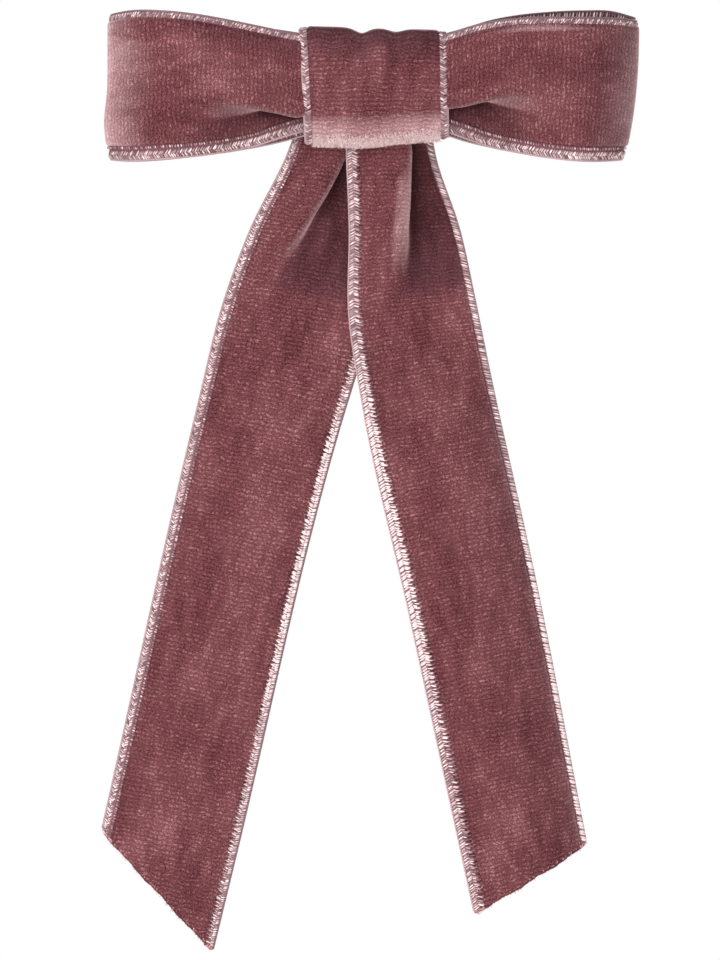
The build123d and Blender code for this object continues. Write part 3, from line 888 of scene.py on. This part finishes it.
def lean_ends(points):
    """The right end leans in towards its lower edge, and the left end bulges below its middle."""
    x, z = points[..., 0], points[..., 2]
    far = smooth((np.abs(x) - 30) / 15)
    low = np.clip((10 - z) / 22, 0, 1)
    bulge = 0.6 * hump(z, -6, 4)
    points[..., 0] = x - np.where(x > 0, 2.4 * low**2.2, bulge) * far
    return points


def whole(ribbon):
    """The ends of a ribbon that is cut square."""
    return lambda v: (np.full_like(v, ribbon.u[0]), np.full_like(v, ribbon.u[-1]))


loops = loop_ribbon()
loops_cloth, loops_rest = dress(
    loops, "loops", ("plain", "braided"), whole(loops), 100, "root", shaded_inner_backing
)
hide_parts("loop_ribbon")


def twisted_thread(name, paths, r, node):
    """Runs of two-ply thread along paths, twisted over two thirds of a millimetre."""
    paths = np.array(paths)
    along = np.gradient(paths, axis=1)
    along /= np.linalg.norm(along, axis=2, keepdims=True)
    side = np.cross(along, (0.3, 0.5, 0.8))
    side /= np.linalg.norm(side, axis=2, keepdims=True)
    other = np.cross(along, side)
    reach = np.cumsum(np.linalg.norm(np.diff(paths, axis=1, prepend=paths[:, :1]), axis=2), axis=1)
    turn = reach * 2 * math.pi / 1.3
    plies = []
    for start in (0.0, math.pi):
        out = np.cos(turn + start)[..., None] * side + np.sin(turn + start)[..., None] * other
        plies.append(paths + 0.42 * r * out)
    plies = np.concatenate(plies)
    points, faces = tubes(plies, np.concatenate([side, side]), np.full(plies.shape[:2], 0.58 * r), 6)
    thread = new_mesh(name, points, faces, {}, sewing)
    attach(thread, "root")
    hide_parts(node)


def rounded_ring(low_x, high_x, low_y, high_y, step=0.12):
    """A rectangle with soft corners, closed, as points a step apart."""
    corners = np.array([(low_x, low_y), (high_x, low_y), (high_x, high_y), (low_x, high_y)])
    centre = corners.mean(axis=0)
    half = (corners[2] - corners[0]) / 2
    angle = np.linspace(0, 2 * math.pi, 400)
    spot = np.stack([np.cos(angle), np.sin(angle)], axis=1)
    spot = np.sign(spot) * np.abs(spot) ** 0.5 * half + centre
    return by_length(spot, step)[1]


def cinch_turns():
    """Turns of thread that gather the loops at their middle, under the knot."""
    ring = rounded_ring(-13.2, -9.5, -6.4, 8.0)
    share = np.linspace(-0.5, 0.5, len(ring))
    paths = [np.column_stack([(k + share) * 0.55, ring]) for k in (-2, -1, 0, 1, 2)]
    twisted_thread("cinch_turns", paths, 0.25, "cinch_thread")


def end_stitches(node):
    """Three stitches through a sewing hole at one end of the plate."""
    (low_x, low_y, low_z), (high_x, high_y, high_z) = box_mm(node)
    r = 0.2
    ring = rounded_ring(low_x + r, high_x - r, low_y + r, high_y - r)
    seats = (low_z + r, (low_z + high_z) / 2, high_z - r)
    paths = [np.column_stack([ring, np.full(len(ring), z)]) for z in seats]
    twisted_thread(node.replace("stitches", "sewn"), paths, r, node)


cinch_turns()
end_stitches("stitches_left")
end_stitches("stitches_right")


# ---- lining: a strip of felt under the bow ----
half_x, half_z = lining_high[0], lining_high[2]


def lining_ends(v):
    """The strip's rounded and slightly uneven ends."""
    corner = 2.0 - np.clip(np.minimum(v, 2 * half_z - v), 0, 2)
    inset = 2.0 - np.sqrt(4.0 - corner**2) + 0.08 * np.sin(v * 2.3) + 0.1
    return inset, 2 * half_x - inset


def lining_heights(u, v):
    """The felt thins towards its edges, and is slightly uneven all over."""
    inside = np.minimum(np.minimum(v, 2 * half_z - v), np.minimum(u, 2 * half_x - u))
    half = 0.33 * (0.35 + 0.65 * np.sqrt(smooth(inside / 0.5))) + 0.02 * np.sin(3 * u) * np.sin(2.3 * v)
    return -half, half


def lining_hairs(strip):
    """Loose fibres along both long edges."""
    rng = np.random.default_rng(600)
    count = 500
    seat = rng.uniform(2.5, 2 * half_x - 2.5, (count, 1))
    side = rng.integers(0, 2, (count, 1))
    t = np.linspace(0, 1, 4)[None, :]
    away = -0.35 + rng.uniform(0.4, 0.75, (count, 1)) * t
    v = np.where(side == 0, -away, 2 * half_z + away)
    u = seat + rng.normal(0, 0.35, (count, 1)) * t
    lift = rng.uniform(-0.22, 0.22, (count, 1)) + rng.normal(0, 0.1, (count, 1)) * t
    thick = np.full((count, 1), 0.035) * np.array([1, 0.9, 0.8, 0.5])
    points, faces = strip.tubes_along(u, v, lift, thick, 4)
    return new_mesh("lining_hairs", points, faces, {}, felt)


def lining_strip():
    """The felt, bowed like the plate, with its loose fibres."""
    u = np.arange(0, 2 * half_x + fine, fine)
    v = np.arange(0, 2 * half_z + fine, fine)
    x, z = np.meshgrid(u - half_x, v - half_z, indexing="ij")
    y = lining_low[1] + 0.35 + x**2 / (2 * clip_bow_r)
    strip = Ribbon(u, v, np.stack([x, y, z], axis=2))
    sheet = layer(strip, "lining_strip", felt, (0.05, 2 * half_z - 0.05), lining_ends, lining_heights)
    hairs = lining_hairs(strip)
    for piece in (sheet, hairs):
        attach(piece, "root")
    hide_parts("lining")


lining_strip()


# ---- knot: a ring of ribbon round the middle of the loops ----
def knot_ribbon():
    """The ring, with two dents in its upper rim, a sagging lower rim and a slightly slanted left side."""
    half_h = knot_high[2] - 0.6
    front, back = knot_low[1] + 0.5, knot_high[1] - 0.95
    # (y, share of the half height), from the middle of the back over the top and round
    upper_half = [(back, 0.8), (back - 1.1, 0.97), (back - 2.6, 1.0)]
    upper_half += [(front + 0.7, 0.92), (front + 0.1, 0.62)]
    lower_half = [(front + 0.45, -0.5), (front + 1.75, -0.84), (back - 2.2, -1.0), (back - 1.1, -0.97)]
    section = np.array([(back, 0.0), *upper_half, (front, 0.0), *lower_half, (back, -0.8), (back, 0.0)])
    section = section * (1.0, half_h)
    at = np.linspace(0, len(section) - 1, 800)
    u, path = by_length(curve(np.arange(len(section)), section, at), fine)
    y, z = path[:, :1], path[:, 1:]
    left = knot_low[0] + 0.3 - 0.055 * z
    right = knot_high[0] + 0.25 - 0.015 * z
    x = left + (right - left) * over_width / ribbon_w
    dents = 0.95 * hump(x, -2.0, 1.7) + 0.55 * hump(x, 3.9, 1.7)
    upper = smooth((z - 1.5) / 8.0)
    low_side = smooth((-z - 2.0) / 7.0)
    sag = 0.55 * hump(x, -1.6, 5.0) - 0.04 * (x + 12)
    z = z + upper * (0.2 - 0.03 * x - dents) - low_side * (sag + 0.3)
    in_front = smooth((back - 1.5 - y) / 3.0)
    y = y + x**2 / (2 * clip_bow_r) + 0.5 * dents * upper * in_front
    points = np.stack([x, np.broadcast_to(y, x.shape), np.broadcast_to(z, x.shape)], axis=2)
    ring = Ribbon(u, widths, points)
    # the pile is painted darker towards the upper rim as shade and lighter towards the lower one as sheen
    ring.painted_nap_light = ring.painted_nap_light - 0.35 * upper + 0.13 * low_side**3
    return ring


knot = knot_ribbon()
knot_cloth, knot_rest = dress(knot, "knot", ("narrow", "narrow"), whole(knot), 200, "root", backing)
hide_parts("knot_band")
knot_line = knot.points[:, len(widths) // 2]
low_rim = knot.u[(knot_line[:, 2] < -8.0) & (knot_line[:, 1] < -10.2)]
fuzz = rim_fuzz(knot, "knot_fuzz", (low_rim[0], low_rim[-1]), 230)
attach(fuzz, "root")
knot_rest.append(fuzz)


# ---- tails ----
def fold_ribbon():
    """The top of the tails' ribbon, folded over and pressed flat behind the knot."""
    front, back = fold_low[1] + 0.6, fold_high[1] - 0.9
    top, low = fold_high[2] - 0.5, -9.0
    shoulder = top - 0.9
    section = [(back, low), (back, shoulder), ((front + back) / 2, top), (front, shoulder), (front, low)]
    reach = [0, shoulder - low, top + 0.2 - low, top + 1.3 - low, 2 * (top - low) + 0.4]
    u = np.arange(0, reach[-1], fine)
    path = curve(reach, section, u)
    x = (over_width / ribbon_w - 0.5) * (fold_high[0] - fold_low[0] - 1.0) + 0 * u[:, None]
    y = path[:, :1] + x**2 / (2 * clip_bow_r)
    z = np.broadcast_to(path[:, 1:], x.shape)
    return Ribbon(u, widths, np.stack([x, y, z], axis=2))


def tail_ribbon(stations, first, last, y, pleat, curl):
    """A tail between two edges given as (x, z) at stations along it.

    pleat is (v at its top, v at its end, depth, angle in degrees, length): a fold under the knot that
    fades out. curl turns the tail's last edge back by that many degrees.
    """
    spare = 22.0  # the cut slants down to here, past the last station
    u = np.arange(stations[0], stations[-1] + spare, fine)
    edges = []
    for points in (first, last):
        flat = curve(stations, points, u)
        edges.append(np.stack([flat[:, 0], np.full(len(u), y), flat[:, 1]], axis=1))
    v_top, v_end, depth, angle, length = pleat
    fading = np.clip((u - 4) / length, 0, 1)[:, None]
    place = v_top + (v_end - v_top) * fading
    deep = depth * (1 - fading) ** 0.6
    angles = gather(over_width, place, deep, 3.5) * math.radians(angle) * (1 - fading**2.2)
    turned = smooth((u - 15) / 45)[:, None]
    angles = angles + math.radians(curl) * (over_width / ribbon_w) ** 1.5 * turned
    angles = angles + 0.03 * np.sin(u[:, None] / 13.0 + over_width / 9.0)
    inward = np.tile((0.0, 1.0, 0.0), (len(u), 1))
    squeeze = 0.75 + 0.25 * smooth(u / 8.0)[:, None]
    points, shade = loft(*edges, inward, angles, squeeze)
    return Ribbon(u, widths, points, shade)


def slanted(start, first_end, last_end):
    """The ends of a tail: square under the knot, and cut by hand at a slant below, not quite straight."""

    def ends(v):
        t = v / ribbon_w
        waver = 0.14 * np.sin(0.8 * v + 0.4) + 0.05 * np.sin(2.7 * v) + 0.04 * np.sin(9.1 * v)
        cut = first_end + (last_end - first_end) * t + waver * np.sin(math.pi * t) ** 0.5
        # the satin bands are trimmed back a little at both corners
        corner = 0.5 * np.exp(-v / 0.5) + 0.5 * np.exp(-(ribbon_w - v) / 0.5)
        return np.full_like(v, start), cut - corner

    return ends


def left_tail():
    """The tail that hangs to the left, behind the other one."""
    stations = [0, 4.3, 19.5, 34.2, 48.4, 125.9]
    first = [(-13.2, -7), (-14.7, -11), (-21.4, -24.7), (-26.4, -38.5), (-29.8, -52.3), (-46.9, -127.8)]
    last = [(2.6, -7), (2.7, -12), (2.6, -29), (-1.1, -43.5), (-5.5, -58), (-23.8, -133.3)]
    y = (left_low[1] + left_high[1]) / 2
    ribbon = tail_ribbon(stations, first, last, y, (11.4, 5.4, 3.4, 130, 25), 8)
    return ribbon, slanted(1.0, 126.8, 142.8)


def right_tail():
    """The tail that hangs to the right, in front, with its outer edge turned back a little."""
    stations = [0, 3.9, 17.5, 32, 46.6, 85, 123.1]
    first = [(-4.8, -7), (-4.7, -10.9), (-4.2, -24.5), (-4.3, -39), (-2.2, -53.5), (6.1, -91.0)]
    last = [(10.0, -7), (10.7, -10.9), (14.9, -23.8), (17.7, -36.5), (20.3, -48.8), (28.6, -86.4)]
    first.append((14.2, -128.2))
    last.append((35.8, -123.7))
    y = (right_low[1] + right_high[1]) / 2
    ribbon = tail_ribbon(stations, first, last, y, (13.2, 9.4, 4.7, 125, 27), 34)
    # painted highlight: the pile is painted lighter along the crest of the pleat
    crest = 12.0 - 3.4 * np.clip((ribbon.u - 4) / 27, 0, 1)
    fading = smooth((ribbon.u - 3) / 8) * (1 - smooth((ribbon.u - 16) / 22))
    ribbon.painted_nap_light = ribbon.painted_nap_light + 0.37 * hump(over_width, crest[:, None], 2.3) * fading[:, None]
    return ribbon, slanted(1.0, 138.3, 130.4)


fold = fold_ribbon()
fold_cloth, fold_rest = dress(fold, "fold", ("narrow", "narrow"), whole(fold), 300, "root", backing)
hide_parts("tail_fold")

# the two tails, each dressed and with a frayed cut end
for name, build, edges, seed in (
    ("tail_left", left_tail, ("corded", "fringed"), 400),
    ("tail_right", right_tail, ("herringbone", "blocked"), 500),
):
    ribbon, ends = build()
    cloth, rest = dress(ribbon, name.replace("tail", "hanging"), edges, ends, seed, None, backing)
    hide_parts(name)
    frayed = fray(ribbon, name.replace("tail", "hanging") + "_fray", ends, seed + 7)
    rest.append(frayed)
    for piece in [cloth, *rest]:
        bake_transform(piece)
    float(np.ptp(np.concatenate(ends(widths))))

# ---- CAD nodes that keep their shape ----
finishes = {
    "steel": steel_material("nickel_plate", (0.62, 0.61, 0.59, 1.0), 0.32),
    "spring_steel": steel_material("spring_steel", (0.56, 0.56, 0.57, 1.0), 0.24),
    "thread": sewing,
    "hot_melt": glue_material(),
    "lining_felt": felt,
}
for row in frame["record"]["subparts"]:
    node = frame["nodes"][row["node"]]
    if row["material_slot"] in finishes:
        node.data.materials.clear()
        node.data.materials.append(finishes[row["material_slot"]])


# ---- stage ----
def light(name, place, aim, size, power):
    """A soft square light at a place, turned towards a point."""
    data = bpy.data.lights.new(name, "AREA")
    data.size = size
    data.energy = power
    lamp = bpy.data.objects.new(name, data)
    bpy.context.scene.collection.objects.link(lamp)
    lamp.location = place
    towards = np.array(aim) - np.array(place)
    lamp.rotation_euler = Vector(towards.tolist()).to_track_quat("-Z", "Y").to_euler()


def stage():
    """A pale floor under the object, white surroundings and soft lights."""
    bpy.ops.mesh.primitive_circle_add(vertices=96, radius=0.8, fill_type="NGON", location=(0, 0, -0.25))
    floor = bpy.context.object
    floor.name = "floor"
    paint = Look("floor_paint", Roughness=0.9)
    grain = paint.noise(paint.place((0.01, 0.01, 0.01)), 2.0)
    floor.data.materials.append(paint.finish(paint.mix(grain, (0.8, 0.8, 0.8, 1), (0.84, 0.84, 0.84, 1))))

    world = bpy.data.worlds.new("white_room")
    world.use_nodes = True
    tree = world.node_tree
    seen = tree.nodes.new("ShaderNodeLightPath").outputs["Is Camera Ray"]
    strength = tree.nodes.new("ShaderNodeMapRange")
    tree.links.new(seen, strength.inputs["Value"])
    strength.inputs[3].default_value = 0.38
    strength.inputs[4].default_value = 1.0
    surround = tree.nodes["Background"]
    surround.inputs["Color"].default_value = (1, 1, 1, 1)
    tree.links.new(strength.outputs[0], surround.inputs["Strength"])
    bpy.context.scene.world = world

    middle = (-0.002, 0, -0.068)
    light("key", (-0.8, -0.85, 0.25), middle, 0.45, 8.0)
    light("fill", (0.6, -0.8, -0.05), middle, 0.6, 3.2)
    light("low", (-0.1, -0.45, -0.23), (0, 0, 0), 0.25, 2.3)
    light("back", (0.7, 0.9, 0.3), middle, 0.4, 6.0)
    light("back_fill", (-0.6, 1.0, -0.1), middle, 0.5, 2.5)
    bpy.context.scene.view_settings.view_transform = "Standard"


def camera():
    """A long lens straight in front of the bow, whose frame just holds it."""
    distance, height_seen = 1.2, 0.1656
    middle_x, middle_z = -0.0023, -0.0678
    lens = bpy.data.cameras.new("camera")
    lens.lens = lens.sensor_width * distance / height_seen
    lens.clip_end = 10
    eye = bpy.data.objects.new("camera", lens)
    bpy.context.scene.collection.objects.link(eye)
    eye.location = (middle_x, -distance - 0.01, middle_z)
    eye.rotation_euler = (math.pi / 2, 0, 0)
    bpy.context.scene.camera = eye


stage()
camera()
